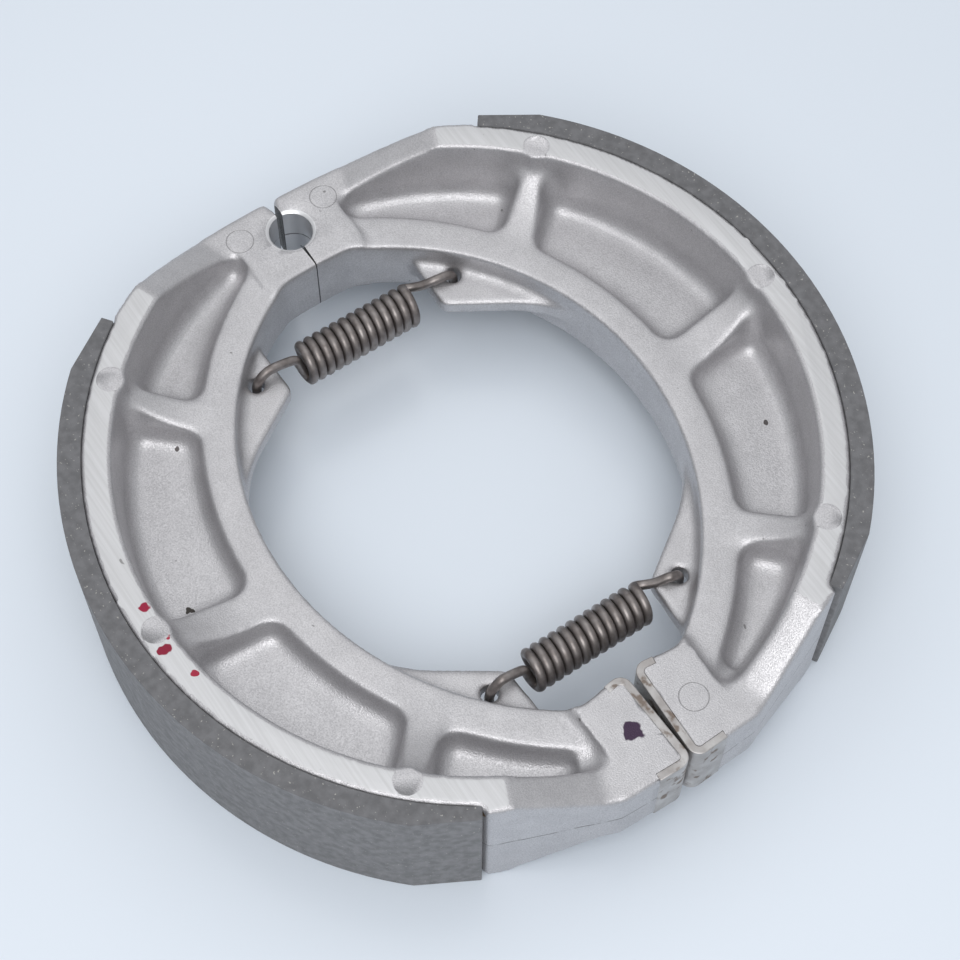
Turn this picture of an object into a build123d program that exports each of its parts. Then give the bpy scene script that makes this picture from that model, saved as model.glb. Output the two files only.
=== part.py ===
from build123d import *
from math import asin, atan2, cos, degrees, radians, sin, sqrt, tan
import os

# A pair of drum brake shoes for a motorcycle wheel, pulled together by two springs.
# Lengths are in millimetres. The origin is on the axis of the anchor pin, halfway
# through the shoes' width. +X runs from the anchor pin to the cam, +Z is the pin's
# axis. Each shoe is drawn where it lies when its lining is centred in the drum, and
# is then turned about the pin into the closed place that the springs pull it to.

# Drum and lining
drum_radius = 65.0
lining_width = 28.0
lining_thickness = 3.65
pin_inset = 12.0
lining_half_angle = 55.0
lining_chamfer_angle = 9.2
lining_end_thickness = 2.1

# Rim of the casting, which carries the lining
rim_wall = 4.65
rim_draft = 5.0
rim_end_gap = 0.5
pin_shoulder = 0.4
cam_shoulder = 1.45
pin_ramp_start_angle = 151.7
pin_ramp_end_angle = 167.0
cam_ramp_start_angle = 31.5
cam_ramp_end_angle = 18.0

# Angle beyond each ramp that the flat cut at the block's height covers
flat_turn = 25.0

# Bead, the thick inner edge of the casting. Each of its two sides is a pair of arcs that
# meet at the crown. Pairs of values are for the pin's end and the cam's.
bead_height = 11.4
bead_width = 5.6
bead_to_rim = 15.2
bead_end_widths = (7.55, 8.15)
bead_end_to_rim = (4.34, 3.11)

# Web at mid-width, with four pockets above it and four below, parted by three ribs
web_thickness = 3.4
pocket_corner = 2.7
pocket_end_corners = (1.9, 2.7, 2.7, 1.4)
rib_rim_angles = (135.0, 90.3, 45.5)
rib_bead_angles = (135.0, 87.8, 45.5)
rib_widths = (5.6, 6.6, 5.6)
rib_draft = 16.0
rib_top_at_rim = 10.9
rib_foot_gap = 0.5
rib_root_depth = 3.5
rib_embed = 2.6

# Anchor pin end
pin_bore_radius = 3.7
pin_bore_chamfer = 0.4
pin_block_height = 12.4
pin_block_back = 7.6
pin_block_back_height = 13.0
pin_block_front = 8.2
pin_block_reach = 9.4
pin_pocket_reach = 9.8
pin_block_corner = 1.0
split_half_gap = 0.32

# Cam end, with the steel wear plate that is cast into it
cam_thickness = 8.4
cam_block_height = 14.5
cam_block_before = 9.5
cam_block_beyond = 8.0
cam_block_reach = 14.0
cam_pocket_reach = 14.4
cam_inner_lean = 5.0
cam_outer_lean = 4.0
cam_outer_straight = 12.2
cam_rest_gap = 0.1
plate_thickness = 1.3
plate_bend_radius = 2.0
plate_outer_leg = 6.1
plate_inner_leg = 3.8

# Spring tabs inside the bead. Their places are measured from the bead's crown: along X
# from the drum's centre, and down towards the parting line.
tab_thickness = 3.2
tab_hole_radius = 1.45
tab_corner = 2.0
tab_root_depth = 10.6
pin_tab_hole_place = (-33.6, 15.8)
pin_tab_edge_drop = 20.3
pin_tab_end_place = -29.6
pin_tab_bend_place = (-24.0, 10.6)
pin_tab_top_place = (-11.0, 0.7)
cam_tab_hole_place = (32.8, 14.8)
cam_tab_edge_drop = 19.5
cam_tab_end_place = 31.3
cam_tab_bend_place = (24.5, 10.2)
cam_tab_top_place = (10.0, 0.6)

# Return springs, close wound, with a hook at each end that drops into a tab's hole.
# Their coils and wires are drawn with flat sides.
spring_wire = 1.6
spring_seam = 0.6
coil_sides = 16
pin_hook_reach = 8.9
cam_hook_reach = 7.5
spring_middle = 0.35
pin_spring_diameter = 7.6
cam_spring_diameter = 7.25
hook_clearance = 0.2
hook_crossing = 3.0
hook_bends = (1.0, 1.4, 1.7)
hook_tail = 1.9
hook_sides = 8
hook_first_rise = 0.4
hook_first_offset = 0.25
hook_angles = {-1: -20.0, 1: 135.0}

# Distance by which cutters run past what they cut
clear_cut = 1.0

pin_to_drum_centre = drum_radius - pin_inset
seat_radius = drum_radius - lining_thickness
rim_inner_radius = seat_radius - rim_wall
bead_outer_crown = rim_inner_radius - bead_to_rim
bead_inner_crown = bead_outer_crown - bead_width
rib_foot_radius = bead_outer_crown + rib_foot_gap
rib_root_radius = bead_outer_crown - rib_root_depth
tab_root_radius = bead_inner_crown + tab_root_depth
cam_block_inner = 2 * pin_to_drum_centre - cam_block_before
cam_block_outer = 2 * pin_to_drum_centre + cam_block_beyond
half_width = lining_width / 2
half_web = web_thickness / 2
half_bead = bead_height / 2
half_cam = cam_thickness / 2
lining_start = 90.0 - lining_half_angle
lining_end = 90.0 + lining_half_angle
rim_foot_radius = rim_inner_radius - (half_width - half_bead) * tan(radians(rim_draft))
closed_angle = degrees(asin((half_cam - cam_rest_gap) / cam_block_outer))
beyond = 2 * drum_radius
above = half_width + clear_cut
ribs = list(zip(rib_rim_angles, rib_bead_angles, rib_widths))


def polar(radius, angle):
    """Point at a radius and an angle about the drum's centre."""
    turn = radians(angle)
    return Vector(pin_to_drum_centre + radius * cos(turn), radius * sin(turn))


def under_crown(along, drop):
    """Point at a place along X from the drum's centre, and a drop below the bead's crown."""
    return Vector(pin_to_drum_centre + along, bead_inner_crown - drop)


def drum_disc(radius):
    return Pos(pin_to_drum_centre, 0) * Circle(radius)


def over(face, bottom):
    """Cutter over a plan, from a height up to past the top of the casting."""
    return Pos(0, 0, bottom) * extrude(face, amount=above - bottom)


def under_arcs(crown, end_gaps):
    """Region under two arcs that meet above the drum's centre, each with its end a gap from the rim."""
    region = Sketch()
    for side, reach, gap in zip((-1, 1), (pin_pocket_reach, cam_pocket_reach), end_gaps):
        end = sqrt(rim_foot_radius**2 - reach**2) - gap
        centre = (crown**2 - end**2 - reach**2) / (2 * (crown - reach))
        disc = Pos(pin_to_drum_centre, centre) * Circle(crown - centre)
        half = Pos(pin_to_drum_centre + side * beyond / 2, 0) * Rectangle(beyond, 2 * beyond)
        region += disc & half
    return region


def plate_corners(depth):
    """Ends and bends of the wear plate's surface, at a depth behind its outer face."""
    inner, outer = radians(cam_inner_lean), radians(cam_outer_lean)
    across = half_cam + depth
    bend_in = Vector(cam_block_inner + depth * (1 + sin(inner)) / cos(inner), across)
    bend_out = Vector(cam_block_outer - depth * (1 + sin(outer)) / cos(outer), across)
    start = Vector(cam_block_inner, half_cam) + Vector(sin(inner), cos(inner)) * plate_inner_leg
    end = Vector(cam_block_outer, half_cam) + Vector(-sin(outer), cos(outer)) * plate_outer_leg
    start += Vector(cos(inner), -sin(inner)) * depth
    end += Vector(-cos(outer), -sin(outer)) * depth
    return start, bend_in, bend_out, end


def plate_line(depth):
    return FilletPolyline(*plate_corners(depth), radius=plate_bend_radius - depth)


def wear_plate():
    outer, inner = plate_line(0.0), plate_line(plate_thickness)
    ends = [Line(outer @ 0, inner @ 0), Line(outer @ 1, inner @ 1)]
    strip = make_face([*outer.edges(), *inner.edges(), *[end.edge() for end in ends]])
    return extrude(strip, amount=cam_block_height / 2, both=True)


def plate_room():
    """Cutter that opens the casting for the wear plate, from its inner surface outwards."""
    inner = plate_line(plate_thickness)
    start, *_, end = plate_corners(-plate_bend_radius)
    low = half_cam - plate_bend_radius
    around = Polyline(inner @ 1, end, (end.X, low), (start.X, low), start, inner @ 0)
    return extrude(make_face([*inner.edges(), *around.edges()]), amount=beyond, both=True)


def casting_plan():
    """Plan of the casting without its tabs."""
    lean = tan(radians(cam_outer_lean))
    cam_foot = Vector(cam_block_outer + half_cam * lean, 0)
    cam_top = cam_foot + Vector(-lean, 1) * (half_cam + cam_outer_straight)
    cam_step = polar(seat_radius + cam_shoulder, lining_start - rim_end_gap)
    seat_cam = polar(seat_radius, lining_start - rim_end_gap)
    seat_pin = polar(seat_radius, lining_end + rim_end_gap)
    pin_step = polar(seat_radius + pin_shoulder, lining_end + rim_end_gap)
    back_top = Vector(-pin_block_back, pin_block_back_height)
    back_middle = polar(seat_radius, (lining_end + pin_ramp_end_angle) / 2)
    outline = [
        Polyline(back_top, (-pin_block_back, 0), cam_foot, cam_top, cam_step, seat_cam),
        ThreePointArc(seat_cam, polar(seat_radius, 90), seat_pin),
        Line(seat_pin, pin_step),
        ThreePointArc(pin_step, back_middle, back_top),
    ]
    plan = make_face([edge for line in outline for edge in line.edges()])
    inner_gaps = [gap + width for gap, width in zip(bead_end_to_rim, bead_end_widths)]
    inside = under_arcs(bead_inner_crown, inner_gaps)
    inside -= Pos(pin_block_front - beyond / 2, 0) * Rectangle(beyond, 2 * pin_block_reach)
    block_in = Vector(cam_block_inner, half_cam)
    block_top = block_in + Vector(tan(radians(cam_inner_lean)), 1) * beyond
    past_cam = [(2 * beyond, beyond), (2 * beyond, 0), (block_in.X, 0)]
    cam_block = Polyline(block_in, block_top, *past_cam, close=True)
    inside -= make_face(cam_block.edges())
    plan -= inside
    plan -= Pos(pin_to_drum_centre, 0) * Rectangle(2 * beyond, 2 * split_half_gap)
    plan -= Pos(cam_block_inner + beyond / 2, 0) * Rectangle(beyond, cam_thickness)
    corner = plan.vertices().sort_by_distance((-pin_block_back, split_half_gap, 0))[0]
    return fillet(corner, pin_block_corner)


def rib_strip(rib):
    """Plan of one rib at the bead's top, from inside the bead to inside the rim's wall."""
    rim_angle, bead_angle, width = rib
    foot = polar(rim_inner_radius, rim_angle)
    inwards = polar(bead_outer_crown, bead_angle) - foot
    turn = Rot(0, 0, degrees(atan2(inwards.Y, inwards.X)))
    length = rim_inner_radius - rib_root_radius + rib_embed
    return Pos(foot.X, foot.Y) * turn * Pos(length / 2 - rib_embed, 0) * Rectangle(length, width)


def end_blocks(pin_reach, cam_reach):
    """Region of the two solid ends, up to a reach beyond each shoe's parting line."""
    region = Sketch()
    for middle, reach in ((0, pin_reach), (2 * pin_to_drum_centre, cam_reach)):
        region += Pos(middle, reach - beyond) * Rectangle(2 * pin_to_drum_centre, 2 * beyond)
    return region


def bay():
    """Cutter inside the rim, from the bead's top up, clear of the two end blocks."""
    high = rim_inner_radius + (above - half_width) * tan(radians(rim_draft))
    room = Cone(rim_foot_radius, high, above - half_bead)
    room = Pos(pin_to_drum_centre, 0, (half_bead + above) / 2) * room
    return room - over(end_blocks(pin_block_reach, cam_block_reach), half_bead)


def raised_rib(rib):
    """Part of a rib that stands above the bead, with a hollow top that rises to the rim."""
    rim_angle, _, width = rib
    top_radius = rim_inner_radius - (half_width - rib_top_at_rim) * tan(radians(rim_draft))
    run, rise = top_radius - rib_foot_radius, rib_top_at_rim - half_bead
    hollow = (run**2 + rise**2) / (2 * rise)
    turn = asin(run / hollow) / 2
    foot, top = (rib_foot_radius, half_bead), (top_radius, rib_top_at_rim)
    middle = (rib_foot_radius + hollow * sin(turn), half_bead + hollow * (1 - cos(turn)))
    inner_radius, low = rib_root_radius - rib_embed, half_bead - rib_embed
    outline = [
        ThreePointArc(foot, middle, top),
        Polyline(top, (drum_radius, rib_top_at_rim), (drum_radius, low), (inner_radius, low)),
        Polyline((inner_radius, low), (inner_radius, half_bead), foot),
    ]
    profile = Plane.XZ * make_face([edge for line in outline for edge in line.edges()])
    below_top = Rot(0, 0, rim_angle) * extrude(profile, amount=width, both=True)
    wedge = extrude(rib_strip(rib), amount=rib_top_at_rim, taper=rib_draft)
    return Pos(0, 0, half_bead) * wedge & Pos(pin_to_drum_centre, 0) * below_top


def pocket_plans():
    """Plans of the pockets at the bead's top, between bead, rim, ribs and end blocks."""
    plan = drum_disc(rim_foot_radius)
    plan -= under_arcs(bead_outer_crown, bead_end_to_rim)
    plan -= end_blocks(pin_pocket_reach, cam_pocket_reach)
    for rib in ribs:
        plan -= rib_strip(rib)
    return plan.faces().sort_by(Axis.X)


def pockets():
    cutters = []
    for face, end_corner in zip(pocket_plans(), pocket_end_corners):
        vertices = face.vertices().sort_by(Axis.Y)
        face = face.fillet_2d(pocket_corner, vertices[2:])
        ends = [face.vertices().sort_by_distance(vertex)[0] for vertex in vertices[:2]]
        cutters.append(over(face.fillet_2d(end_corner, ends), half_web))
    return cutters


def end_drops():
    """Cutters that bring the rim and the end blocks down from the full width."""
    inner, outer = rim_inner_radius - rim_wall, drum_radius + rim_wall
    cutters = []
    for start, end, side, height in (
        (pin_ramp_start_angle, pin_ramp_end_angle, 1, pin_block_height),
        (cam_ramp_start_angle, cam_ramp_end_angle, -1, cam_block_height),
    ):
        run = 2 * seat_radius * sin(radians(abs(end - start) / 2))
        slope = Polyline((0, half_width), (run, height / 2), (run, above), (0, above), close=True)
        ramp = extrude(Plane.XZ * make_face(slope.edges()), amount=2 * rim_wall, both=True)
        foot = polar(seat_radius - rim_wall / 2, start)
        cutters.append(Pos(foot.X, foot.Y) * Rot(0, 0, (start + end) / 2 + side * 90) * ramp)
        corners = [(inner, 0), (outer, 0), (outer, flat_turn), (inner, flat_turn)]
        flat = Polyline(*[polar(radius, end + side * turn) for radius, turn in corners], close=True)
        cutters.append(over(make_face(flat.edges()), height / 2))
    pin_block = Rectangle(4 * pin_block_front, 2 * pin_block_reach)
    cam_block = Pos(cam_block_inner + beyond / 2 - half_cam) * Rectangle(beyond, 2 * cam_block_reach)
    cutters.append(over(pin_block, pin_block_height / 2))
    cutters.append(over(cam_block, cam_block_height / 2))
    return cutters


def tab(side, hole, edge_drop, end, bend, top):
    """Plate inside the bead, on one side of the drum's centre, with a hole for a spring's hook."""
    edge_end, bend, top = under_crown(end, edge_drop), under_crown(*bend), under_crown(*top)
    edge = edge_end.Y
    edge_start = Vector(pin_to_drum_centre + side * sqrt(tab_root_radius**2 - edge**2), edge)
    arm = top - Vector(pin_to_drum_centre, 0)
    top_angle = degrees(atan2(arm.Y, arm.X))
    edge_angle = 90 - side * (90 - degrees(asin(edge / tab_root_radius)))
    root = polar(tab_root_radius, top_angle)
    middle = polar(tab_root_radius, (top_angle + edge_angle) / 2)
    straight = Line(edge_end, bend)
    outline = [
        Polyline(edge_start, edge_end, bend),
        TangentArc(bend, top, tangent=straight % 1),
        Line(top, root),
        ThreePointArc(root, middle, edge_start),
    ]
    plan = make_face([edge for line in outline for edge in line.edges()])
    corner = plan.vertices().sort_by_distance((edge_end.X, edge_end.Y, 0))[0]
    plan = fillet(corner, tab_corner) - Pos(*under_crown(*hole)) * Circle(tab_hole_radius)
    return extrude(plan, amount=tab_thickness / 2, both=True)


def pin_bore():
    """Cutter for the anchor pin's half bore and its chamfers."""
    top = pin_block_height / 2
    bore = Cylinder(pin_bore_radius, 2 * top)
    flare = Cone(pin_bore_radius, pin_bore_radius + pin_bore_chamfer, pin_bore_chamfer)
    flare = Pos(0, 0, top - pin_bore_chamfer / 2) * flare
    return bore + flare + mirror(flare, about=Plane.XY)


def casting():
    plan = casting_plan()
    half = extrude(plan, amount=half_width)
    half -= [bay()] + pockets() + end_drops()
    half += [raised_rib(rib) for rib in ribs]
    whole = half + mirror(half, about=Plane.XY)
    whole += [
        tab(
            -1, pin_tab_hole_place, pin_tab_edge_drop, pin_tab_end_place,
            pin_tab_bend_place, pin_tab_top_place,
        ),
        tab(
            1, cam_tab_hole_place, cam_tab_edge_drop, cam_tab_end_place,
            cam_tab_bend_place, cam_tab_top_place,
        ),
    ]
    return whole - [plate_room(), pin_bore()]


def lining():
    end_radius = seat_radius + lining_end_thickness
    start, end = lining_start, lining_end
    face_start = polar(drum_radius, start + lining_chamfer_angle)
    face_end = polar(drum_radius, end - lining_chamfer_angle)
    outline = [
        ThreePointArc(polar(seat_radius, start), polar(seat_radius, 90), polar(seat_radius, end)),
        Polyline(polar(seat_radius, end), polar(end_radius, end), face_end),
        ThreePointArc(face_end, polar(drum_radius, 90), face_start),
        Polyline(face_start, polar(end_radius, start), polar(seat_radius, start)),
    ]
    face = make_face([edge for line in outline for edge in line.edges()])
    return extrude(face, amount=half_width, both=True)


def hook(start, rim, tab_hole, side):
    """Wire from a coil's rim to its middle, out over the tab and down into the tab's hole."""
    top = tab_thickness / 2 + spring_wire / 2 + hook_clearance
    angle = radians(hook_angles[side])
    leave = Vector(rim * cos(angle), 0, rim * sin(angle))
    hole = Vector(start.X, side * tab_hole.Y)
    rise_y = side * hook_crossing * hook_first_rise
    points = [
        start + leave,
        start + Vector(leave.X * hook_first_offset, rise_y, (leave.Z + top) / 2),
        start + Vector(0, side * hook_crossing, top),
        hole + Vector(0, 0, top),
        hole + Vector(0, 0, -tab_thickness / 2 - hook_tail),
    ]
    path = FilletPolyline(*points, radius=list(hook_bends))
    section = Plane(origin=path @ 0, z_dir=path % 0) * RegularPolygon(spring_wire / 2, hook_sides)
    return sweep(section, path=path)


def spring(hole_place, diameter, hook_reach):
    """Coil along Y with a hook at each end, as long as its two tabs' holes leave room for."""
    tab_hole = under_crown(*hole_place).rotate(Axis.Z, -closed_angle)
    turns = int(2 * (tab_hole.Y - hook_reach) / spring_wire)
    outer, inner = diameter / 2, diameter / 2 - spring_wire
    length = turns * spring_wire
    lean = degrees(atan2(spring_seam, spring_wire / 2))
    half_turn = extrude(RegularPolygon(outer, coil_sides), amount=spring_wire / 2, taper=lean)
    one_turn = half_turn + mirror(half_turn, about=Plane.XY)
    coil = Part() + [Pos(0, 0, (turn + 0.5) * spring_wire) * one_turn for turn in range(turns)]
    coil -= Cylinder(inner, 4 * length)
    coil = Pos(tab_hole.X, spring_middle + length / 2, 0) * Rot(90, 0, 0) * coil
    for side in (-1, 1):
        start = Vector(tab_hole.X, spring_middle + side * (length - spring_wire) / 2)
        coil += hook(start, outer - spring_wire / 2, tab_hole, side)
    return coil


pieces = {
    "pivot_end_spring": spring(pin_tab_hole_place, pin_spring_diameter, pin_hook_reach),
    "cam_end_spring": spring(cam_tab_hole_place, cam_spring_diameter, cam_hook_reach),
}
shoe = {"shoe_casting": casting(), "lining": lining(), "cam_plate": wear_plate()}
for name, piece in shoe.items():
    right = Rot(0, 0, -closed_angle) * piece
    pieces["right_" + name] = right
    pieces["left_" + name] = mirror(right, about=Plane.XZ)

os.makedirs("parts", exist_ok=True)
for name, piece in pieces.items():
    export_step(piece, f"parts/{name}.step")
print("closed angle", round(closed_angle, 3))
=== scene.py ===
import bpy
import math
from mathutils import Matrix, Vector


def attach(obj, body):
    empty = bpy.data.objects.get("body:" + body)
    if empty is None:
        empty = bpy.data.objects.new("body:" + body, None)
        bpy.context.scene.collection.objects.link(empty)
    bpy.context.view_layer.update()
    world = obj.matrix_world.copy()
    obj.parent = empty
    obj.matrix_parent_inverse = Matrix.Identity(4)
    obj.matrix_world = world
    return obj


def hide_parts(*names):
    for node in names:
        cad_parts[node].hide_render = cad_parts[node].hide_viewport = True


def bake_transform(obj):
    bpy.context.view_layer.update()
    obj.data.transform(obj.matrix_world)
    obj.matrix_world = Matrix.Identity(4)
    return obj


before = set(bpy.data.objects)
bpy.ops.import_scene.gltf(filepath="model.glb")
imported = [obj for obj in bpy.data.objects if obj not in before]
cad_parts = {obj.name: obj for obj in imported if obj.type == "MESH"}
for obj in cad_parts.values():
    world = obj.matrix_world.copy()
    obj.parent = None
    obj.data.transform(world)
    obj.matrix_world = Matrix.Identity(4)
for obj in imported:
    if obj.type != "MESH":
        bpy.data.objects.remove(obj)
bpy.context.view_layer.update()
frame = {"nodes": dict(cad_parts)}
nodes = frame["nodes"]
print("frame loaded")

# where each shoe lies: it is turned about the anchor pin, the left one a mirror of the right
layout = {
    "closedAngle": 2.061,
    "halfWidth": 0.014,
    "splitHalfGap": 0.00032,
    "boreRadius": 0.0037,
    "boreChamfer": 0.0004,
    "pinBlockHalfHeight": 0.0062,
    "floorHeight": -0.014,
    "mergeWithin": 0.000002,
}
turned = Matrix.Rotation(math.radians(-layout["closedAngle"]), 4, "Z")


def onShoe(x, y, z=0.0):
    # a place on the right shoe, given as on a drawing of it, in millimetres
    return turned @ Vector((x / 1000, y / 1000, z / 1000))


def deselectAll():
    if bpy.context.mode != "OBJECT":
        bpy.ops.object.mode_set(mode="OBJECT")
    bpy.ops.object.select_all(action="DESELECT")


def makeActive(piece):
    deselectAll()
    piece.select_set(True)
    bpy.context.view_layer.objects.active = piece


def editAll(piece):
    makeActive(piece)
    bpy.ops.object.mode_set(mode="EDIT")
    bpy.ops.mesh.select_mode(type="VERT")
    bpy.ops.mesh.select_all(action="SELECT")


def backToObject():
    bpy.ops.object.mode_set(mode="OBJECT")


def mergedCopy(nodeName, name):
    # a closed mesh made from a CAD node's loose triangles
    node = nodes[nodeName]
    mesh = node.data.copy()
    mesh.name = name
    mesh.transform(node.matrix_world)
    mesh.materials.clear()
    piece = bpy.data.objects.new(name, mesh)
    bpy.context.scene.collection.objects.link(piece)
    editAll(piece)
    bpy.ops.mesh.remove_doubles(threshold=layout["mergeWithin"])
    bpy.ops.mesh.normals_make_consistent(inside=False)
    backToObject()
    return piece


def applyModifier(piece, kind, **settings):
    makeActive(piece)
    modifier = piece.modifiers.new(kind.title(), kind)
    for setting, value in settings.items():
        setattr(modifier, setting, value)
    bpy.ops.object.modifier_apply(modifier=modifier.name)


def boxFrom(low, high, name, place=Matrix()):
    bpy.ops.mesh.primitive_cube_add(size=1)
    box = bpy.context.object
    box.name = name
    low, high = Vector(low), Vector(high)
    middle, size = (low + high) / 2, high - low
    box.data.transform(place @ Matrix.Translation(middle) @ Matrix.Diagonal(size).to_4x4())
    return box


def cutAway(piece, cutter):
    makeActive(piece)
    cut = piece.modifiers.new("Cut", "BOOLEAN")
    cut.operation = "DIFFERENCE"
    cut.solver = "EXACT"
    cut.object = cutter
    bpy.ops.object.modifier_apply(modifier=cut.name)
    bpy.data.objects.remove(cutter, do_unlink=True)


def joinInto(piece, *others):
    makeActive(piece)
    for other in others:
        other.select_set(True)
    bpy.ops.object.join()


def mirroredCopy(piece, name):
    mesh = piece.data.copy()
    mesh.name = name
    mesh.transform(Matrix.Scale(-1, 4, (0, 1, 0)))
    mesh.flip_normals()
    copy = bpy.data.objects.new(name, mesh)
    bpy.context.scene.collection.objects.link(copy)
    return copy


def smoothShade(piece, angle):
    makeActive(piece)
    bpy.ops.object.shade_smooth_by_angle(angle=math.radians(angle), keep_sharp_edges=False)


# return springs: round wire, close wound, with a hook into each shoe's tab
springs = {
    "wire": 0.0016,
    "pitch": 0.00167,
    "sides": 4,
    "pointsPerTurn": 28,
    "bendSteps": 6,
    "middle": 0.0001,
    "turns": 13,
    "pivotEnd": {"hole": (19.4, 20.1), "diameter": 0.0076},
    "camEnd": {"hole": (85.8, 21.1), "diameter": 0.00725},
    "tabHalf": 0.0016,
    "gapOverTab": 0.0002,
    "tail": 0.0019,
    "leaveAngles": (-32.0, 140.0),
    # bends next to the coil: across and up in coil radii, along in metres
    "leftCurl": (
        (0.00, -0.0017, 0.90), (0.10, -0.0010, 0.40), (0.27, -0.0006, -0.20), (0.52, -0.0002, -0.62),
    ),
    "rightCurl": ((-0.84, 0.0007, 0.42), (-0.66, 0.0019, 0.40), (-0.34, 0.0034, 0.62)),
    "hookRun": 0.003,
    "shadeAngle": 50,
}


# cast shoe: rounded all over as it leaves the mould, then faced, split and bored
casting = {
    "voxel": 0.0004,
    "plug": ((-0.0044, -0.0015), (0.0082, 0.0045)),
    "filletRadius": 0.0018,
    "tabShare": 0.5,
    "smoothFactor": 0.5,
    "smoothRounds": 12,
    "sharpAbove": 0.0131,
    "floors": {"below": 0.0045, "within": 0.0565, "share": 0.9, "rounds": 45},
    "lastRounds": 2,
    "keptShare": 0.42,
    "facing": {"cut": 0.00002, "low": (-0.05, -0.1), "high": (0.16, 0.1), "over": 0.01},
    "saw": {"low": (-0.03, -0.02, -0.02), "reach": 0.02},
    "bore": {"sides": 96, "over": 0.002},
    "hookHole": {"radius": 0.00145, "depth": 0.0038, "sides": 40},
    "pads": {
        "angles": (135.0, 90.3, 45.5), "centre": 53.0, "fromCentre": 58.35, "radius": 0.0024, "sides": 48,
    },
    "discs": {"radius": 0.00225, "depth": 0.0001, "over": 0.001, "sides": 56},
    "plateRoomStretch": 1.4,
    "sliverWithin": 0.000001,
    "shadeAngle": 34,
}

# line down the middle of the bead, as an arc on each side of the drum's centre
bead = {"centre": 53.0, "crown": 38.7, "pinEnd": (47.0, 9.8), "camEnd": (47.0, 14.4), "blur": 1.6}

# solid ends, which stand a little proud of the bead beside them
endBlocks = {
    "pin": {"half": 0.0062, "plan": ((-7.2, 1.0), (7.9, 1.0), (8.25, 8.3), (6.9, 9.65), (-6.2, 9.65))},
    "cam": {
        "half": 0.00725,
        "plan": ((97.9, 6.0), (97.9, 12.9), (98.8, 14.0), (107.4, 14.2), (110.6, 11.5), (111.6, 6.0)),
    },
}

# everything in front of the cam plate's outer face, legs included
plateFront = (
    (98.4, 4.23), (111.9, 4.23), (113.36, 4.84), (113.84, 6.0), (113.54, 10.27), (117.0, 10.27),
    (117.0, -1.0), (90.0, -1.0), (90.0, 7.96), (96.88, 7.96), (96.64, 6.0), (97.14, 4.87),
)


def boreCutter():
    # a reamer with a countersink at each mouth, turned from its half outline
    radius, height = layout["boreRadius"], layout["pinBlockHalfHeight"]
    flare, over = layout["boreChamfer"], casting["bore"]["over"]
    outline = [
        (0.0, height + over), (radius + flare + over, height + over), (radius, height - flare),
        (radius, flare - height), (radius + flare + over, -height - over), (0.0, -height - over),
    ]
    mesh = bpy.data.meshes.new("reamer")
    mesh.from_pydata([(x, 0, z) for x, z in outline], [(i, i + 1) for i in range(5)], [])
    cutter = bpy.data.objects.new("reamer", mesh)
    bpy.context.scene.collection.objects.link(cutter)
    editAll(cutter)
    bpy.ops.mesh.spin(steps=casting["bore"]["sides"], angle=2 * math.pi, center=(0, 0, 0), axis=(0, 0, 1))
    bpy.ops.mesh.select_all(action="SELECT")
    bpy.ops.mesh.remove_doubles(threshold=layout["mergeWithin"])
    bpy.ops.mesh.normals_make_consistent(inside=False)
    backToObject()
    return cutter


def remesh(piece):
    applyModifier(piece, "REMESH", mode="VOXEL", voxel_size=casting["voxel"])


def outsideBead(place):
    # 1 on the pockets' side of the bead, tabShare on the tabs' side
    back = turned.inverted() @ place * 1000
    end, reach = bead["pinEnd"] if back.x < bead["centre"] else bead["camEnd"]
    crown = bead["crown"]
    middle = (crown**2 - end**2 - reach**2) / (2 * (crown - reach))
    beyond = math.hypot(back.x - bead["centre"], back.y - middle) - (crown - middle)
    share = min(max(0.5 + beyond / (2 * bead["blur"]), 0.0), 1.0)
    return casting["tabShare"] + (1 - casting["tabShare"]) * share


def swell(piece, distance):
    # moves the surface outwards, less of it on the tabs' side of the bead
    group = piece.vertex_groups.new(name="reach")
    for vertex in piece.data.vertices:
        group.add([vertex.index], outsideBead(vertex.co), "REPLACE")
    applyModifier(piece, "DISPLACE", strength=distance, mid_level=0.0, vertex_group=group.name)
    remesh(piece)


def smoothCast(piece, rounds):
    # the rim's two faces are cut later, so their edges stay out of the smoothing
    group = piece.vertex_groups.new(name="asCast")
    for vertex in piece.data.vertices:
        if abs(vertex.co.z) < casting["sharpAbove"]:
            group.add([vertex.index], outsideBead(vertex.co) ** 2, "REPLACE")
    applyModifier(
        piece, "SMOOTH", factor=casting["smoothFactor"], iterations=rounds, vertex_group=group.name,
    )


def easeFloors(piece):
    # wider fillets round the pockets' floors than along their upper edges
    floors = casting["floors"]
    group = piece.vertex_groups.new(name="floors")
    centre = onShoe(bead["centre"], 0).xy
    for vertex in piece.data.vertices:
        low = abs(vertex.co.z) < floors["below"]
        inside = (vertex.co.xy - centre).length < floors["within"]
        if low and inside and outsideBead(vertex.co) > floors["share"]:
            group.add([vertex.index], 1.0, "REPLACE")
    applyModifier(
        piece, "SMOOTH", factor=casting["smoothFactor"], iterations=floors["rounds"], vertex_group=group.name,
    )


def prism(plan, half, name):
    count = len(plan)
    corners = [onShoe(x, y, z * half * 1000) for z in (-1, 1) for x, y in plan]
    sides = [(i, (i + 1) % count, (i + 1) % count + count, i + count) for i in range(count)]
    ends = [tuple(reversed(range(count))), tuple(range(count, 2 * count))]
    mesh = bpy.data.meshes.new(name)
    mesh.from_pydata(corners, [], sides + ends)
    piece = bpy.data.objects.new(name, mesh)
    bpy.context.scene.collection.objects.link(piece)
    return piece


def padPlace(angle, z=0.0):
    pads = casting["pads"]
    reach, turn = pads["fromCentre"], math.radians(angle)
    return onShoe(pads["centre"] + reach * math.cos(turn), reach * math.sin(turn), z * 1000)


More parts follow.
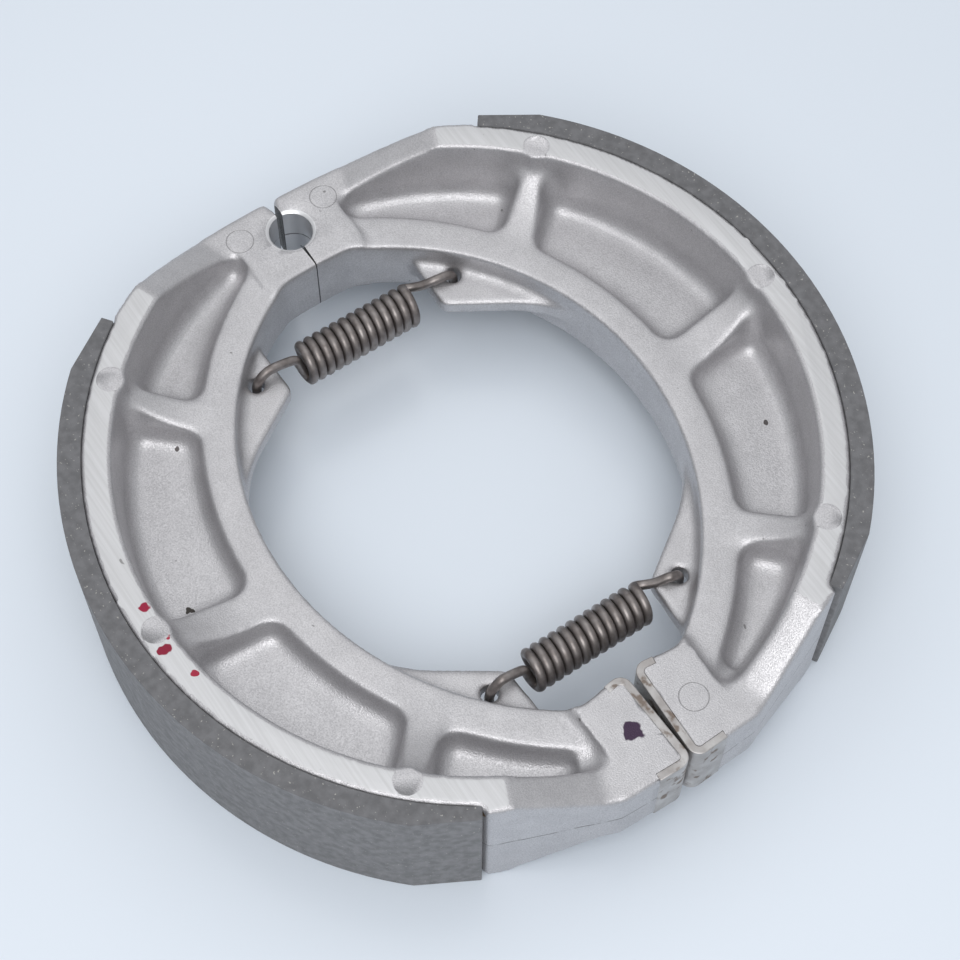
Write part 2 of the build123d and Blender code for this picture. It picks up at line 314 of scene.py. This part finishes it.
def cylinderAt(place, radius, depth, sides):
    deselectAll()
    bpy.ops.mesh.primitive_cylinder_add(vertices=sides, radius=radius, depth=depth, location=place)
    bpy.ops.object.transform_apply(location=True, rotation=True, scale=True)
    return bpy.context.object


def discCutter():
    # the ejector pins' ends in the rim, a little too low for the facing cut to reach
    disc = casting["discs"]
    made = []
    for side in (-1, 1):
        middle = side * (layout["halfWidth"] + disc["over"] - disc["depth"])
        for angle in casting["pads"]["angles"]:
            made.append(cylinderAt(padPlace(angle, middle), disc["radius"], 2 * disc["over"], disc["sides"]))
    joinInto(*made)
    return made[0]


def keepLargest(piece):
    # the cuts leave a few thin slivers behind
    editAll(piece)
    bpy.ops.mesh.remove_doubles(threshold=casting["sliverWithin"])
    bpy.ops.mesh.separate(type="LOOSE")
    backToObject()
    parts = sorted(bpy.context.selected_objects, key=lambda part: len(part.data.polygons))
    for sliver in parts[:-1]:
        bpy.data.objects.remove(sliver, do_unlink=True)
    return parts[-1]


def makeBlank():
    # the CAD casting with its cam plate's room, bore and split filled, and the pads on its rim
    piece = mergedCopy("right_shoe_casting", "rightShoeCasting")
    plate = mergedCopy("right_cam_plate", "plateStock")
    half = layout["pinBlockHalfHeight"]
    (lowX, lowY), (highX, highY) = casting["plug"]
    deselectAll()
    plug = boxFrom((lowX, lowY, -half), (highX, highY, half), "plug", turned)
    size = casting["pads"]
    pads = [
        cylinderAt(padPlace(angle), size["radius"], 2 * layout["halfWidth"], size["sides"])
        for angle in size["angles"]
    ]
    joinInto(piece, plate, plug, *pads)
    remesh(piece)
    return piece


def faceOff(piece):
    # mills both faces of the rim flat
    facing = casting["facing"]
    for side in (-1, 1):
        low, high = sorted((
            side * (layout["halfWidth"] - facing["cut"]), side * (layout["halfWidth"] + facing["over"]),
        ))
        cutAway(piece, boxFrom((*facing["low"], low), (*facing["high"], high), "facing"))


def makeCasting():
    piece = makeBlank()
    # grown and shrunk again, which leaves a fillet along every inner corner
    swell(piece, casting["filletRadius"])
    swell(piece, -casting["filletRadius"])
    smoothCast(piece, casting["smoothRounds"])
    easeFloors(piece)
    joinInto(piece, *(prism(block["plan"], block["half"], end + "Block") for end, block in endBlocks.items()))
    remesh(piece)
    smoothCast(piece, casting["lastRounds"])
    applyModifier(piece, "DECIMATE", ratio=casting["keptShare"])
    faceOff(piece)
    reach = casting["saw"]["reach"]
    cutAway(piece, boxFrom(casting["saw"]["low"], (reach, layout["splitHalfGap"], reach), "saw", turned))
    cutAway(piece, boreCutter())
    hole = casting["hookHole"]
    for end in ("pivotEnd", "camEnd"):
        place = onShoe(*springs[end]["hole"])
        cutAway(piece, cylinderAt(place, hole["radius"], hole["depth"], hole["sides"]))
    cutAway(piece, discCutter())
    plateRoom = mergedCopy("right_cam_plate", "plateRoom")
    plateRoom.data.transform(Matrix.Diagonal((1, 1, casting["plateRoomStretch"], 1)))
    cutAway(piece, plateRoom)
    cutAway(piece, prism(plateFront, layout["halfWidth"], "plateFront"))
    piece = keepLargest(piece)
    piece.name = "rightShoeCasting"
    smoothShade(piece, casting["shadeAngle"])
    return piece


rightCasting = makeCasting()
leftCasting = mirroredCopy(rightCasting, "leftShoeCasting")
castTriangles = sum(len(face.vertices) - 2 for face in rightCasting.data.polygons)
print("castings made", castTriangles, "triangles each")


def edgedCopy(nodeName, name, edge):
    # the CAD shape with whole flat faces again, and its sharp edges broken
    piece = mergedCopy(nodeName, name)
    editAll(piece)
    bpy.ops.mesh.dissolve_limited(angle_limit=math.radians(edge["flatWithin"]))
    backToObject()
    applyModifier(
        piece, "BEVEL", width=edge["bevel"], segments=edge["segments"],
        limit_method="ANGLE", angle_limit=math.radians(edge["angle"]), use_clamp_overlap=True,
    )
    smoothShade(piece, edge["shadeAngle"])
    return piece


# bonded lining: flat moulded sides, ground outer face and ends
liningEdge = {"flatWithin": 0.5, "bevel": 0.00018, "segments": 2, "angle": 20, "shadeAngle": 12}
rightLining = edgedCopy("right_lining", "rightLining", liningEdge)
leftLining = mirroredCopy(rightLining, "leftLining")
print("linings made")

# steel wear plate, bent and sheared
plateEdge = {"flatWithin": 0.5, "bevel": 0.00016, "segments": 2, "angle": 40, "shadeAngle": 25}
rightPlate = edgedCopy("right_cam_plate", "rightCamPlate", plateEdge)
leftPlate = mirroredCopy(rightPlate, "leftCamPlate")
print("cam plates made")


def smoothRun(points, steps):
    # evenly sampled curve through the given points, with round bends
    run = []
    last = len(points) - 1
    for index in range(last):
        before = points[max(index - 1, 0)]
        start, end = points[index], points[index + 1]
        after = points[min(index + 2, last)]
        for step in range(steps):
            t = step / steps
            run.append(
                0.5 * (2 * start + (end - before) * t
                       + (2 * before - 5 * start + 4 * end - after) * t**2
                       + (3 * start - before - 3 * end + after) * t**3)
            )
    run.append(points[-1])
    return run


def makeSpring(name, size):
    wire = springs["wire"]
    hole = onShoe(*size["hole"])
    radius = (size["diameter"] - wire) / 2
    first, last = (math.radians(angle) for angle in springs["leaveAngles"])
    wholeTurns = springs["turns"] - 1
    sweep = 2 * math.pi * wholeTurns + (last - first)
    length = springs["pitch"] * sweep / (2 * math.pi)
    lowY = springs["middle"] - length / 2

    def coilPoint(t):
        angle = first + sweep * t
        return Vector((hole.x + radius * math.cos(angle), lowY + length * t, radius * math.sin(angle)))

    count = int(springs["pointsPerTurn"] * sweep / (2 * math.pi))
    coil = [coilPoint(index / count) for index in range(count + 1)]
    top = springs["tabHalf"] + wire / 2 + springs["gapOverTab"]
    foot = -springs["tabHalf"] - springs["tail"]

    def beside(end, across, along, height):
        # a place off one end of the coil, across and up in coil radii
        return Vector((hole.x + radius * across, end.y + along, radius * height))

    near, far = coil[0], coil[-1]
    # left hook: in from the hole, high over the tab's edge, then curling down and round
    left = [
        Vector((hole.x, -hole.y, foot)),
        Vector((hole.x, -hole.y, 0.0)),
        Vector((hole.x, -hole.y + 0.0004, top * 0.75)),
        Vector((hole.x, -hole.y + 0.0015, top + 0.0007)),
        Vector((hole.x, (near.y - 0.0022 - hole.y) / 2, top + 0.0012)),
        *(beside(near, *bend) for bend in springs["leftCurl"]),
        near,
    ]
    # right hook: on round the coil, then across to the middle and flat to the hole
    right = [
        far,
        *(beside(far, *bend) for bend in springs["rightCurl"]),
        Vector((hole.x - 0.0002, far.y + 0.0052, top + 0.0002)),
        Vector((hole.x, hole.y - 0.0016, top + 0.0001)),
        Vector((hole.x, hole.y - 0.0004, top * 0.70)),
        Vector((hole.x, hole.y, 0.0)),
        Vector((hole.x, hole.y, foot)),
    ]
    steps = springs["bendSteps"]
    points = smoothRun(left, steps)[:-1] + coil + smoothRun(right, steps)[1:]
    curve = bpy.data.curves.new(name, "CURVE")
    curve.dimensions = "3D"
    curve.bevel_depth = wire / 2
    curve.bevel_resolution = springs["sides"]
    curve.use_fill_caps = True
    spline = curve.splines.new("POLY")
    spline.points.add(len(points) - 1)
    for point, place in zip(spline.points, points):
        point.co = (*place, 1)
    piece = bpy.data.objects.new(name, curve)
    bpy.context.scene.collection.objects.link(piece)
    makeActive(piece)
    bpy.ops.object.convert(target="MESH")
    editAll(piece)
    bpy.ops.mesh.remove_doubles(threshold=layout["mergeWithin"])
    bpy.ops.mesh.normals_make_consistent(inside=False)
    backToObject()
    smoothShade(piece, springs["shadeAngle"])
    return piece


pivotSpring = makeSpring("pivotEndSpring", springs["pivotEnd"])
camSpring = makeSpring("camEndSpring", springs["camEnd"])
print("springs made")


# materials: all patterns lie on Object coordinates, in metres
class Nodes:
    def __init__(self, name):
        self.material = bpy.data.materials.new(name)
        self.material.use_nodes = True
        self.tree = self.material.node_tree
        self.shader = self.tree.nodes["Principled BSDF"]
        self.place = self.add("ShaderNodeTexCoord").outputs["Object"]

    def add(self, kind, inputs=None, **settings):
        node = self.tree.nodes.new(kind)
        for setting, value in settings.items():
            setattr(node, setting, value)
        for key, value in (inputs or {}).items():
            socket = node.inputs[key]
            if isinstance(value, bpy.types.NodeSocket):
                self.tree.links.new(value, socket)
            else:
                socket.default_value = value
        return node

    def link(self, source, target):
        self.tree.links.new(source, self.shader.inputs[target])

    def math(self, operation, first, second=0.0, clamp=False):
        return self.add(
            "ShaderNodeMath", {0: first, 1: second}, operation=operation, use_clamp=clamp
        ).outputs[0]

    def stretched(self, scale):
        return self.add("ShaderNodeMapping", {"Vector": self.place, "Scale": scale}).outputs[0]

    def noise(self, scale, detail=2.0, vector=None, roughness=0.5):
        return self.add(
            "ShaderNodeTexNoise",
            {"Vector": vector or self.place, "Scale": scale, "Detail": detail, "Roughness": roughness},
        ).outputs[0]

    def ramp(self, value, low, high):
        return self.add(
            "ShaderNodeMapRange", {"Value": value, "From Min": low, "From Max": high}, clamp=True
        ).outputs[0]

    def patches(self, pattern):
        # a noise with its contrast raised between two levels
        return self.ramp(self.noise(pattern["scale"], pattern["detail"]), *pattern["levels"])

    def mix(self, share, first, second):
        return self.add("ShaderNodeMix", {0: share, 6: first, 7: second}, data_type="RGBA").outputs[2]

    def mixValue(self, share, first, second):
        return self.add("ShaderNodeMix", {0: share, 2: first, 3: second}, data_type="FLOAT").outputs[0]

    def scaled(self, colour, factor):
        return self.add("ShaderNodeVectorMath", {0: colour, "Scale": factor}, operation="SCALE").outputs[0]

    def distance(self, vector, centre):
        return self.add("ShaderNodeVectorMath", {0: vector, 1: centre}, operation="DISTANCE").outputs["Value"]

    def bump(self, height, strength, distance):
        node = self.add("ShaderNodeBump", {"Strength": strength, "Distance": distance, "Height": height})
        self.link(node.outputs[0], "Normal")


castLook = {
    "cast": (0.545, 0.537, 0.549, 1),
    "castShade": (0.46, 0.453, 0.465, 1),
    "mottle": {"scale": 260.0, "detail": 3.0, "levels": (0.3, 0.75), "share": 0.7},
    "grain": {
        "scale": 4400.0, "detail": 1.5, "roughness": 0.6, "levels": (0.34, 0.66),
        "share": 0.34, "dark": 0.70, "light": 1.30,
    },
    "ground": {
        "colour": (0.61, 0.61, 0.62, 1), "line": (0.56, 0.56, 0.565, 1), "within": 0.00006,
        "stretch": (55.0, 2600.0, 55.0), "levels": (0.35, 0.65), "height": 0.3,
    },
    "bored": {"colour": (0.74, 0.74, 0.75, 1), "radius": 0.00425, "roughness": 0.34, "height": 0.5},
    "roughness": (0.35, 0.50),
    "groundRoughness": (0.46, 0.56),
    "metallic": (0.82, 0.45),
    "bump": (0.75, 0.00009),
    "speck": (0.10, 0.095, 0.09, 1),
    # painted shade: the split faces near black, as the narrow gap between the shoes falls in shade
    "splitShade": {"slope": 0.036, "within": 0.0004, "beforeX": 0.012, "colour": (0.06, 0.058, 0.056, 1)},
    "parting": {
        "half": 0.0002, "wander": 0.0011, "wanderScale": 180.0, "share": 0.8, "height": 1.4,
        "centre": (0.053, 0, 0), "beyond": 0.047,
        "breaks": {"scale": 420.0, "detail": 2.0, "levels": (0.34, 0.46)},
    },
    "circles": {
        "left": ((-3.15, 8.1, 6.2),), "right": ((-3.15, 8.1, 6.2), (105.6, 9.6, 7.25)),
        "radius": 0.0023, "half": 0.0001, "share": 0.35, "depth": 0.8,
    },
    "pits": {"scale": 700.0, "detail": 1.0, "levels": (0.80, 0.83), "share": 0.6},
    "ragged": {"scale": 800.0, "detail": 1.0, "reach": 0.0018},
    # paint specks, dirt and a glue stain: place, radius and colour
    "marks": {
        "left": (
            ((0.0506, -0.0559, 0.014), 0.0008, (0.30, 0.012, 0.045, 1)),
            ((0.0583, -0.0569, 0.014), 0.0010, (0.24, 0.010, 0.035, 1)),
            ((0.0638, -0.0550, 0.014), 0.0005, (0.34, 0.02, 0.05, 1)),
            ((0.0570, -0.0555, 0.014), 0.0004, (0.36, 0.03, 0.06, 1)),
            ((0.1052, -0.0051, 0.00725), 0.0015, (0.06, 0.038, 0.068, 1)),
            ((0.0493, -0.0490, 0.0017), 0.0005, (0.06, 0.055, 0.05, 1)),
            ((0.0236, -0.0360, 0.0017), 0.0005, (0.10, 0.09, 0.09, 1)),
            ((0.1045, -0.0318, 0.0122), 0.0009, (0.20, 0.12, 0.05, 1)),
        ),
        "right": (
            ((0.0720, 0.0460, 0.0017), 0.0004, (0.10, 0.09, 0.09, 1)),
            ((0.0300, 0.0340, 0.0017), 0.0004, (0.12, 0.11, 0.10, 1)),
        ),
    },
}


def pinCircles(nodes, drawn, side):
    # thin circles that the ejector pins left on the end blocks
    circles = castLook["circles"]
    rings = 0.0
    for place in circles[side]:
        fromLine = nodes.math("SUBTRACT", nodes.distance(drawn, tuple(onShoe(*place))), circles["radius"])
        ring = nodes.ramp(nodes.math("ABSOLUTE", fromLine), circles["half"], circles["half"] * 0.4)
        rings = nodes.math("MAXIMUM", ring, rings)
    return rings


def partingSeam(nodes, height, flat):
    # seam of the two mould halves, wandering a little about mid-height, on the outer walls only
    parting = castLook["parting"]
    wander = nodes.math("SUBTRACT", nodes.noise(parting["wanderScale"], 2.0), 0.5)
    seam = nodes.math("ADD", height, nodes.math("MULTIPLY", wander, parting["wander"]))
    seam = nodes.ramp(nodes.math("ABSOLUTE", seam), parting["half"], parting["half"] * 0.3)
    outside = nodes.math("GREATER_THAN", nodes.distance(flat, parting["centre"]), parting["beyond"])
    broken = nodes.math("MULTIPLY", nodes.patches(parting["breaks"]), outside)
    return nodes.math("MULTIPLY", nodes.math("MULTIPLY", seam, broken), parting["share"])


def paintMarks(nodes, colour, side):
    ragged = castLook["ragged"]
    edge = nodes.math("SUBTRACT", nodes.noise(ragged["scale"], ragged["detail"]), 0.5)
    edge = nodes.math("MULTIPLY", edge, ragged["reach"])
    for centre, radius, tint in castLook["marks"][side]:
        reach = nodes.math("ADD", nodes.distance(nodes.place, centre), edge)
        colour = nodes.mix(nodes.ramp(reach, radius * 1.12, radius * 0.95), colour, tint)
    return colour


def castAluminium(side):
    nodes = Nodes(side + "CastAluminium")
    # the same drawing lies on both shoes, so places on it are taken on the right shoe
    split = nodes.add("ShaderNodeSeparateXYZ", {0: nodes.place}).outputs
    across = nodes.math("ABSOLUTE", split["Y"])
    height = nodes.math("ABSOLUTE", split["Z"])
    drawn = nodes.add("ShaderNodeCombineXYZ", {"X": split["X"], "Y": across, "Z": height}).outputs[0]
    flat = nodes.add("ShaderNodeCombineXYZ", {"X": split["X"], "Y": split["Y"]}).outputs[0]

    # sandblasted skin: a slow mottle, and fine bright and dark grains
    mottle = nodes.math("MULTIPLY", nodes.patches(castLook["mottle"]), castLook["mottle"]["share"])
    colour = nodes.mix(mottle, castLook["cast"], castLook["castShade"])
    grains = castLook["grain"]
    grain = nodes.noise(grains["scale"], grains["detail"], roughness=grains["roughness"])
    spread = nodes.ramp(grain, *grains["levels"])
    value = nodes.mixValue(spread, grains["dark"], grains["light"])
    colour = nodes.scaled(colour, nodes.mixValue(grains["share"], 1.0, value))

    # rim's faces, ground in straight strokes
    ground = castLook["ground"]
    facing = nodes.math("GREATER_THAN", height, layout["halfWidth"] - ground["within"])
    streaks = nodes.noise(1.0, 3.0, nodes.stretched(ground["stretch"]))
    lines = nodes.ramp(streaks, *ground["levels"])
    colour = nodes.mix(facing, colour, nodes.mix(lines, ground["line"], ground["colour"]))

    # reamed bore, and painted shade on the split's saw-cut faces: near black, where the narrow gap between
    # the shoes lies in shade
    bore, saw = castLook["bored"], castLook["splitShade"]
    fromPin = nodes.add("ShaderNodeVectorMath", {0: flat}, operation="LENGTH").outputs["Value"]
    bored = nodes.math("LESS_THAN", fromPin, bore["radius"])
    colour = nodes.mix(bored, colour, bore["colour"])
    splitShade = nodes.math("ADD", across, nodes.math("MULTIPLY", split["X"], saw["slope"]))
    nearPin = nodes.math("LESS_THAN", split["X"], saw["beforeX"])
    splitShade = nodes.math("MULTIPLY", nodes.math("LESS_THAN", splitShade, saw["within"]), nearPin)
    colour = nodes.mix(splitShade, colour, saw["colour"])

    # what the mould left, then dirt and paint
    seam = partingSeam(nodes, split["Z"], flat)
    colour = nodes.mix(seam, colour, castLook["speck"])
    circles = castLook["circles"]
    rings = pinCircles(nodes, drawn, side)
    colour = nodes.mix(nodes.math("MULTIPLY", rings, circles["share"]), colour, castLook["speck"])
    pits = nodes.math("MULTIPLY", nodes.patches(castLook["pits"]), castLook["pits"]["share"])
    colour = nodes.mix(pits, colour, castLook["speck"])
    nodes.link(paintMarks(nodes, colour, side), "Base Color")

    roughness = nodes.mixValue(spread, castLook["roughness"][1], castLook["roughness"][0])
    fine = nodes.mixValue(lines, castLook["groundRoughness"][1], castLook["groundRoughness"][0])
    roughness = nodes.mixValue(facing, roughness, fine)
    nodes.link(nodes.mixValue(bored, roughness, bore["roughness"]), "Roughness")
    relief = nodes.mixValue(facing, grain, nodes.math("MULTIPLY", streaks, ground["height"]))
    relief = nodes.mixValue(bored, relief, bore["height"])
    relief = nodes.math("SUBTRACT", relief, nodes.math("MULTIPLY", rings, circles["depth"]))
    relief = nodes.math("ADD", relief, nodes.math("MULTIPLY", seam, castLook["parting"]["height"]))
    nodes.bump(relief, *castLook["bump"])
    nodes.link(nodes.mixValue(facing, *castLook["metallic"]), "Metallic")
    return nodes.material


liningLook = {
    "side": (0.155, 0.155, 0.162, 1),
    "outer": (0.225, 0.225, 0.232, 1),
    "light": (0.42, 0.41, 0.38, 1),
    "dark": (0.04, 0.04, 0.042, 1),
    "faceWithin": 0.00012,
    "clouds": {"scale": 700.0, "detail": 3.0, "levels": (0.35, 0.65), "share": 0.35},
    "chips": {"scale": 2600.0, "detail": 1.0, "levels": (0.70, 0.76), "share": 0.7},
    "grind": (2200.0, 2200.0, 60.0),
    "grainScale": 3800.0,
    "roughness": 0.72,
    "bump": (0.5, 0.0001),
}


def frictionLining(side):
    nodes = Nodes(side + "FrictionLining")
    look = liningLook
    height = nodes.add("ShaderNodeSeparateXYZ", {0: nodes.place}).outputs["Z"]
    faceFrom = layout["halfWidth"] - look["faceWithin"]
    face = nodes.math("GREATER_THAN", nodes.math("ABSOLUTE", height), faceFrom)
    colour = nodes.mix(face, look["outer"], look["side"])
    for pattern, tint in (("clouds", "dark"), ("chips", "light")):
        share = nodes.math("MULTIPLY", nodes.patches(look[pattern]), look[pattern]["share"])
        colour = nodes.mix(share, colour, look[tint])
    nodes.link(colour, "Base Color")
    # the outer face is ground along the drum, the moulded sides are grainy
    grind = nodes.noise(1.0, 2.0, nodes.stretched(look["grind"]))
    nodes.bump(nodes.mixValue(face, grind, nodes.noise(look["grainScale"])), *look["bump"])
    nodes.shader.inputs["Roughness"].default_value = look["roughness"]
    return nodes.material


plateLook = {
    "steel": (0.50, 0.49, 0.485, 1),
    "scale": (0.17, 0.125, 0.095, 1),
    "dull": (0.33, 0.31, 0.30, 1),
    "dullPatches": {"scale": 300.0, "detail": 3.0, "levels": (0.35, 0.65)},
    "scalePatches": {"scale": 520.0, "detail": 4.0, "levels": (0.56, 0.66), "share": 0.8},
    "roughness": (0.34, 0.62),
    "metallic": 0.7,
    "grainScale": 2500.0,
    "bump": (0.4, 0.0001),
}


def plateSteel(side):
    nodes = Nodes(side + "PlateSteel")
    look = plateLook
    colour = nodes.mix(nodes.patches(look["dullPatches"]), look["steel"], look["dull"])
    scale = nodes.patches(look["scalePatches"])
    colour = nodes.mix(nodes.math("MULTIPLY", scale, look["scalePatches"]["share"]), colour, look["scale"])
    nodes.link(colour, "Base Color")
    nodes.link(nodes.mixValue(scale, *look["roughness"]), "Roughness")
    nodes.bump(nodes.noise(look["grainScale"], 3.0), *look["bump"])
    nodes.shader.inputs["Metallic"].default_value = look["metallic"]
    return nodes.material


springLook = {
    "light": (0.30, 0.275, 0.265, 1),
    "dark": (0.17, 0.148, 0.14, 1),
    "clouds": {"scale": 700.0, "detail": 4.0, "levels": (0.3, 0.7)},
    "roughness": (0.30, 0.44),
    "metallic": 0.8,
    "grainScale": 2500.0,
    "bump": (0.3, 0.00006),
}


def springSteel():
    nodes = Nodes("springSteel")
    look = springLook
    cloud = nodes.patches(look["clouds"])
    nodes.link(nodes.mix(cloud, look["light"], look["dark"]), "Base Color")
    nodes.link(nodes.mixValue(cloud, *look["roughness"]), "Roughness")
    nodes.bump(nodes.noise(look["grainScale"], 3.0), *look["bump"])
    nodes.shader.inputs["Metallic"].default_value = look["metallic"]
    return nodes.material


springFinish = springSteel()
pieces = [
    (rightCasting, "right_shoe_casting", "right_shoe", castAluminium("right")),
    (leftCasting, "left_shoe_casting", "left_shoe", castAluminium("left")),
    (rightLining, "right_lining", "right_shoe", frictionLining("right")),
    (leftLining, "left_lining", "left_shoe", frictionLining("left")),
    (rightPlate, "right_cam_plate", "right_shoe", plateSteel("right")),
    (leftPlate, "left_cam_plate", "left_shoe", plateSteel("left")),
    (pivotSpring, "pivot_end_spring", None, springFinish),
    (camSpring, "cam_end_spring", None, springFinish),
]
for piece, node, body, material in pieces:
    piece.data.materials.clear()
    piece.data.materials.append(material)
    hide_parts(node)
    if body:
        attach(piece, body)
for spring, size in ((pivotSpring, springs["pivotEnd"]), (camSpring, springs["camEnd"])):
    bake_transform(spring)
print("pieces dressed and riding")

# studio: a pale glossy table, soft light from above and from the camera's side
studio = {
    "tableSize": 6,
    "middle": (0.05, 0, 0),
    "table": (0.705, 0.762, 0.83, 1),
    "tableRoughness": 0.22,
    "worldColour": (0.95, 0.97, 1.0, 1),
    "worldStrength": 0.64,
    "key": {"place": (0.33, -0.21, 0.55), "size": 0.56, "power": 1.95},
    "top": {"place": (-0.16, 0.07, 0.60), "size": 0.70, "power": 0.75},
}


def makeTable():
    deselectAll()
    place = (*studio["middle"][:2], layout["floorHeight"])
    bpy.ops.mesh.primitive_plane_add(size=studio["tableSize"], location=place)
    table = bpy.context.object
    table.name = "table"
    nodes = Nodes("tableTop")
    nodes.shader.inputs["Base Color"].default_value = studio["table"]
    nodes.shader.inputs["Roughness"].default_value = studio["tableRoughness"]
    nodes.material.node_tree.nodes.remove(nodes.place.node)
    table.data.materials.append(nodes.material)


def makeLamp(name, settings):
    data = bpy.data.lights.new(name, "AREA")
    data.shape = "DISK"
    data.size = settings["size"]
    data.energy = settings["power"]
    lamp = bpy.data.objects.new(name, data)
    lamp.location = settings["place"]
    lamp.rotation_euler = (Vector(studio["middle"]) - lamp.location).to_track_quat("-Z", "Y").to_euler()
    bpy.context.scene.collection.objects.link(lamp)


makeTable()
makeLamp("keyLight", studio["key"])
makeLamp("topLight", studio["top"])
world = bpy.data.worlds.new("studioWorld")
world.use_nodes = True
background = world.node_tree.nodes["Background"]
background.inputs["Color"].default_value = studio["worldColour"]
background.inputs["Strength"].default_value = studio["worldStrength"]
bpy.context.scene.world = world
bpy.context.scene.view_settings.view_transform = "Standard"

# camera: stands over the cam end, a little to the left of the shoes' own line
view = {
    "place": (0.19030, -0.09102, 0.30965),
    "target": (0.05444, 0.00181, 0.0),
    "lens": 81.55,
    "sensor": 36.0,
    "clipStart": 0.01,
    "roll": 0.5068,
}
camera = bpy.data.objects.new("camera", bpy.data.cameras.new("camera"))
camera.data.lens = view["lens"]
camera.data.sensor_width = view["sensor"]
camera.data.clip_start = view["clipStart"]
camera.location = view["place"]
aim = (Vector(view["target"]) - camera.location).to_track_quat("-Z", "Y")
camera.rotation_euler = (aim.to_matrix() @ Matrix.Rotation(math.radians(view["roll"]), 3, "Z")).to_euler()
bpy.context.scene.collection.objects.link(camera)
bpy.context.scene.camera = camera
print("studio and camera ready")
